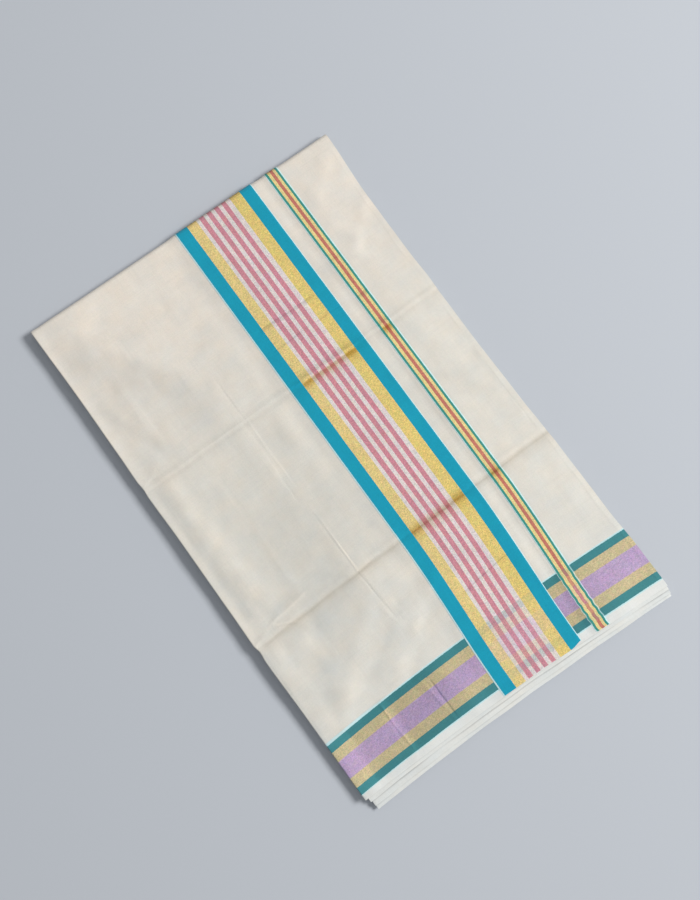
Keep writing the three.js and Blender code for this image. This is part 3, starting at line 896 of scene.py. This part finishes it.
# Each lower ply takes the deepest relief of the columns over it, to stay under them.
upper_count = int(np.argmin(top_path["x"]))
upper_x = top_path["x"][:upper_count]
for column in range(upper_count, len(top_path["x"])):
    near = top_path["x"][column - 1:column + 2]
    over = (upper_x >= near.min()) & (upper_x <= near.max())
    if over.sum() > 1:
        relief[:, column] = relief[:, :upper_count][:, over].min(axis=1)
ply_ends = np.interp(top_path["walked"], *top_ply_ends) + hem_wave(top_path["x"])
faces = []
for x, depth in both_faces(top_path, top_thickness):
    face = lay(pile_height, x[None, :], v, depth[None, :], relief)
    face[..., 1] += ply_ends * near_hem(v, packet_hem)
    faces.append(face * MM)
# The top stretch's tone is the painted light and shade of its folds and creases.
tone = painted_light_and_shade_tone(np.maximum(top_path["x"], packet_left)[None, :], np.minimum(v, fold_start))
top = cloth_shell("top_stretch_cloth", *faces, top_path["cloth_x"], v, tone)


def ramp(tree, place, stops, interpolation="CONSTANT"):
    """Colours or greys by place along one of the cloth's coordinates, in millimetres. Each holds
    as far as the next one, unless another interpolation is given."""
    low, high = stops[0][0], stops[-1][0]
    spread = tree.nodes.new("ShaderNodeMapRange")
    spread.inputs["From Min"].default_value = low * MM
    spread.inputs["From Max"].default_value = high * MM
    tree.links.new(place, spread.inputs["Value"])
    node = tree.nodes.new("ShaderNodeValToRGB")
    node.color_ramp.interpolation = interpolation
    tree.links.new(spread.outputs[0], node.inputs[0])
    elements = node.color_ramp.elements
    while len(elements) < len(stops):
        elements.new(1.0)
    for element, (place_mm, value) in zip(elements, stops):
        element.position = (place_mm - low) / (high - low)
        element.color = [value] * 3 + [1] if isinstance(value, (int, float)) else [*value, 1]
    return node.outputs[0]


def ragged(tree, place, cloth, depth):
    """A place on the cloth, made uneven as yarns are."""
    return maths(tree, "MULTIPLY_ADD", noise(tree, cloth, 900, 900), depth, place)


# How the creases across are darkened, partly by a brown stain and partly by painted shade, by
# place along the cloth, with painted shade round the far side of the top fold. Band is for the
# close-set warps, which hold more of it, and Body for the plain cloth.
crease_wander, stain_and_shade_unevenness, stain_and_shade_share = 0.0016, 1.2, 0.95
tree, cloth, crease_out = shader_group(
    "Crease stains and painted shade", [("Band", "NodeSocketColor"), ("Body", "NodeSocketColor")]
)
crease_group = tree
wander = noise(tree, cloth, 45, 12)
along = maths(tree, "MULTIPLY_ADD", wander, crease_wander, separated(tree, cloth)[1])
unevenness = noise(tree, cloth, 50, 20)
patchy = maths(tree, "MULTIPLY_ADD", unevenness, stain_and_shade_unevenness, stain_and_shade_share)
band_stain_and_shade = [
    (-200, 1), (-120, 1), (-114, (0.95, 0.92, 0.84)), (-111, (0.91, 0.85, 0.72)),
    (-108, (0.82, 0.74, 0.60)), (-106, (0.68, 0.57, 0.42)), (-104.2, (0.53, 0.38, 0.19)),
    (-102.4, (0.66, 0.58, 0.40)), (-100.4, (0.69, 0.64, 0.47)), (-98, (0.88, 0.84, 0.76)), (-95, 1),
    (84, 1), (90, (0.96, 0.93, 0.88)), (94, (0.88, 0.81, 0.69)), (97, (0.71, 0.57, 0.33)),
    (98.8, (0.61, 0.45, 0.17)), (100.4, (0.63, 0.48, 0.21)), (102, (0.88, 0.82, 0.68)), (103.2, 1),
    (104.6, 1), (106.8, (0.78, 0.78, 0.76)), (109, (0.79, 0.79, 0.78)), (112, (0.92, 0.93, 0.93)),
    (116, 1), (321.5, 1), (323.5, (0.86, 0.82, 0.76)), (326, (0.5, 0.43, 0.36)),
    (345, (0.5, 0.43, 0.36)),
]
body_stain_and_shade = [
    (-200, 1), (-118, 1), (-111, (0.97, 0.96, 0.95)), (-107, (0.925, 0.905, 0.88)),
    (-105, (0.875, 0.85, 0.81)), (-103, (0.83, 0.80, 0.755)), (-101.4, (0.92, 0.90, 0.875)),
    (-99, (0.98, 0.975, 0.97)), (-96, 1), (88, 1), (96, (0.985, 0.985, 0.98)),
    (99.8, (0.94, 0.935, 0.93)), (102.4, (0.98, 0.975, 0.97)), (104.5, 1),
    (106, (0.97, 0.97, 0.965)), (107.8, (0.93, 0.93, 0.925)), (110, (0.965, 0.965, 0.96)),
    (114, 1), (345, 1),
]
for output, stops in (("Band", band_stain_and_shade), ("Body", body_stain_and_shade)):
    stained_and_shaded = mixed(tree, patchy, (1, 1, 1), ramp(tree, along, stops, "LINEAR"))
    tree.links.new(stained_and_shaded, crease_out[output])


def creased(tree, cloth, colour, output, share):
    """A colour with the creases' brown stain and painted shade over it."""
    node = tree.nodes.new("ShaderNodeGroup")
    node.node_tree = crease_group
    tree.links.new(cloth, node.inputs[0])
    return mixed(tree, share, colour, node.outputs[output], "MULTIPLY")


hem_white = linear(232, 234, 232)
cord_white = linear(202, 236, 240)
band_teal, band_gold = linear(72, 147, 154), linear(217, 202, 160)
band_lavender = linear(200, 175, 213)
body_high, body_mid = linear(234, 227, 217), linear(229, 225, 216)
body_low = linear(231, 228, 220)
band_wefts = [
    (-294.6, band_teal), (-285.4, band_gold), (-273.2, band_lavender), (-250.4, band_gold),
    (-238.4, band_teal),
]
warp_raggedness, weft_raggedness = 0.0008, 0.0012
tint_share = 0.6
# The cool cast that the painted shade takes.
cool_tone = 0.16

striped, tree, shader, cloth, weave = cloth_material(
    "cotton with the cross band", cotton_roughness
)
across, along = separated(tree, cloth)

# The field is warmer toward the top. Left of the middle a soft patch of painted shade makes it a
# little dimmer.
plain = ramp(
    tree, along, [(-230, body_low), (-90, body_mid), (60, body_mid), (240, body_high)], "LINEAR"
)
dim = maths(
    tree, "MULTIPLY",
    ramp(tree, across, [(-202, 0), (-160, 0.3), (-95, 1), (-60, 0.8), (-30, 0.5), (0, 0)], "EASE"),
    ramp(tree, along, [(-160, 0.1), (-80, 0.7), (-20, 1), (60, 0.6), (130, 0)], "EASE"),
)
plain = mixed(tree, dim, plain, (0.92, 0.925, 0.925), "MULTIPLY")

# The band's wefts between their white cords, with a speckle of their own.
band = ramp(
    tree, ragged(tree, along, cloth, weft_raggedness),
    [(-312, hem_white), (-296.2, cord_white), *band_wefts, (-229.5, cord_white),
     (-227.9, cord_white)],
)
in_body = ramp(tree, along, [(-228, 0), (-227.7, 1), (-220, 1)])
band = mixed(tree, in_body, band, plain)
speckle = ramp(
    tree, along,
    [(-312, 0.03), (-294.6, 0.12), (-285.4, 0.3), (-273.2, 0.3), (-250.4, 0.3), (-238.4, 0.12),
     (-229.5, 0.04), (-200, 0.04)],
)

# The upper cord is whiter at the left. Painted shade darkens the cloth beside the raised borders.
whiter = maths(
    tree, "MULTIPLY",
    ramp(tree, across, [(-202, 0.85), (-150, 0.65), (-112, 0)], "LINEAR"),
    ramp(tree, along, [(-229.4, 0), (-229, 1), (-226.6, 1), (-225.8, 0)], "LINEAR"),
)
band = mixed(tree, whiter, band, cord_white)
painted_shade_beside_borders = ramp(
    tree, across,
    [(-26, 1), (-13, 0.97), (-9, 0.935), (97, 0.92), (100, 0.95), (106, 1), (111, 0.97),
     (115, 0.92), (134, 0.93), (140, 0.96), (152, 1)],
    "LINEAR",
)
band = mixed(tree, 1.0, band, painted_shade_beside_borders, "MULTIPLY")

# Painted shade dulls the band unevenly across the packet, most left of the middle and between the
# borders, with a painted highlight on a short crease at the left and two thin dark lines near the
# selvedge.
in_band = ramp(tree, along, [(-300, 0), (-294.6, 1), (-229.5, 0), (-200, 0)])
painted_shade_and_edge_lines_on_band = ramp(
    tree, across,
    [(-202, 1), (-178, 1), (-173, 0.81), (-131, 0.8), (-128.6, 0.95), (-118, 0.76), (-80, 0.75),
     (-60, 0.8), (-40, 0.86), (-12, 0.88), (98, 0.78), (113, 0.76), (135, 0.84), (160, 0.87),
     (193.4, 0.9), (193.7, 0.66), (194.3, 0.66), (194.6, 0.9), (196.8, 0.9), (197, 0.74),
     (197.4, 0.74), (197.6, 0.9)],
    "LINEAR",
)
band = mixed(tree, in_band, band, painted_shade_and_edge_lines_on_band, "MULTIPLY")
band = woven(tree, band, weave, speckle, maths(tree, "MULTIPLY", speckle, tint_share), cool_tone)
fades_in = ramp(tree, across, [(-202, 0.3), (-190, 0.6), (-170, 0.9), (-150, 1)], "LINEAR")
tree.links.new(creased(tree, cloth, band, "Body", fades_in), shader.inputs["Base Color"])
top.data.materials.append(striped)
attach(top, "root")
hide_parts("top_stretch")

# ---- Wide border and narrow border ----
# Each border is a band of close-set coloured warps between white edge cords. The close weave
# stands a little proud of the plain cloth and runs with it over creases and the top fold.

border_thickness = 0.3
border_float = 0.04
border_roughness = 0.8
border_turn = 150
edge_width, edge_rise = 0.5, 0.35
corner_width, corner_length, wide_corner_lift = 14, 9, 2.6
waver_from, waver_fade, waver_length, waver_depth = -228.0, 14, 11.0, 0.45


def border_strip(name, left, right, columns, corner_lift, waver):
    """A strip on the top ply's own points, moved out, with rounded long edges."""
    lines = np.array([left, left + edge_width, *columns, right - edge_width, right])[::-1]
    rows = over_fold(flat_rows, pile_height, border_turn, 13)
    v = rows[:, None]
    sway = waver * np.sin(2 * math.pi * v / waver_length)
    x = lines[None, :] + sway * (1 - ease(v, waver_from - waver_fade, waver_from))
    relief = top_relief(x, np.minimum(v, fold_start))
    edge = np.minimum(lines - left, right - lines) < edge_width / 2
    rise = np.where(edge, border_thickness * edge_rise, border_thickness)[None, :]
    lift = corner_lift * ease(lines, right - corner_width, right)
    lift = lift * (1 - ease(v, packet_hem, packet_hem + corner_length))
    faces = []
    for height in (border_float + rise, np.full_like(rise, border_float)):
        face = lay(pile_height, x, v, -height, relief)
        face[..., 1] += hem_wave(lines) * near_hem(v, packet_hem) + lift
        faces.append(face * MM)
    # The strip takes the same painted light and shade as the cloth around it.
    tone = painted_light_and_shade_tone(x, np.minimum(v, fold_start))
    strip = cloth_shell(name, *faces, lines[None, :], v, tone)
    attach(strip, "root")
    return strip


def border_material(name, stripes, speckles, weft_shares, stain_and_shade):
    """Warp stripes with speckle, the cross band's wefts showing through them, and the creases'
    stain and painted shade.
    """
    material, tree, shader, cloth, weave = cloth_material(name, border_roughness)
    across, along = separated(tree, cloth)
    warps = ramp(tree, ragged(tree, across, cloth, warp_raggedness), stripes)
    wefts = ramp(
        tree, ragged(tree, along, cloth, weft_raggedness),
        [(-312, hem_white), *band_wefts, (-229.5, hem_white), (-200, hem_white)],
    )
    in_band = ramp(tree, along, [(-312, 0), (-294.6, 1), (-229.5, 0), (-200, 0)])
    share = maths(tree, "MULTIPLY", in_band, ramp(tree, across, weft_shares))
    speckle = ramp(tree, across, speckles)
    tint_depth = maths(tree, "MULTIPLY", speckle, tint_share)
    colour = woven(tree, mixed(tree, share, warps, wefts), weave, speckle, tint_depth)
    stained_and_shaded = creased(tree, cloth, colour, "Band", ramp(tree, across, stain_and_shade))
    tree.links.new(stained_and_shaded, shader.inputs["Base Color"])
    return material


teal, pink = linear(4, 158, 188), linear(208, 140, 153)
left_gold, right_gold = linear(228, 205, 138), linear(228, 204, 124)
stripe_white = linear(226, 217, 215)
wide_lines = np.linspace(-5, 94, 24)
wide = border_strip("wide_border_cloth", -8.1, 96.7, wide_lines, wide_corner_lift, 0.0)
wide.data.materials.append(
    border_material(
        "wide border weave",
        [(-9, cord_white), (-6.5, teal), (8.4, left_gold), (20.8, stripe_white), (25.2, pink),
         (30.8, stripe_white), (35.5, pink), (40.8, stripe_white), (45.5, pink), (51, stripe_white),
         (55.7, pink), (61.1, stripe_white), (66.9, right_gold), (80.6, teal), (95.9, cord_white),
         (98, cord_white)],
        [(-9, 0.08), (8.4, 0.34), (20.8, 0.3), (66.9, 0.34), (80.6, 0.08), (98, 0.08)],
        [(-9, 0), (8.4, 0.15), (20.8, 0.3), (25.2, 0.13), (30.8, 0.3), (35.5, 0.13), (40.8, 0.3),
         (45.5, 0.13), (51, 0.3), (55.7, 0.13), (61.1, 0.3), (66.9, 0.15), (80.6, 0), (98, 0)],
        [(-9, 0.1), (8.4, 1), (20.8, 0.75), (66.9, 1), (80.6, 0.1), (98, 0.1)],
    )
)
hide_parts("wide_border")

narrow_teal, narrow_gold, rust = linear(56, 148, 138), linear(234, 214, 148), linear(198, 122, 106)
narrow_lines = np.linspace(117.5, 131.5, 8)
narrow = border_strip("narrow_border_cloth", 115.4, 133.0, narrow_lines, 0.0, waver_depth)
narrow.data.materials.append(
    border_material(
        "narrow border weave",
        [(114, cord_white), (116.3, narrow_teal), (118.9, narrow_gold), (122.3, rust),
         (126.1, narrow_gold), (129.1, narrow_teal), (131.7, cord_white), (135, cord_white)],
        [(114, 0.08), (118.9, 0.3), (129.1, 0.08), (135, 0.08)],
        [(114, 0.5), (116.3, 0), (118.9, 0.14), (122.3, 0.24), (126.1, 0.14), (129.1, 0),
         (131.7, 0.5)],
        [(114, 0.2), (118.9, 1), (129.1, 0.2), (135, 0.2)],
    )
)
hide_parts("narrow_border")
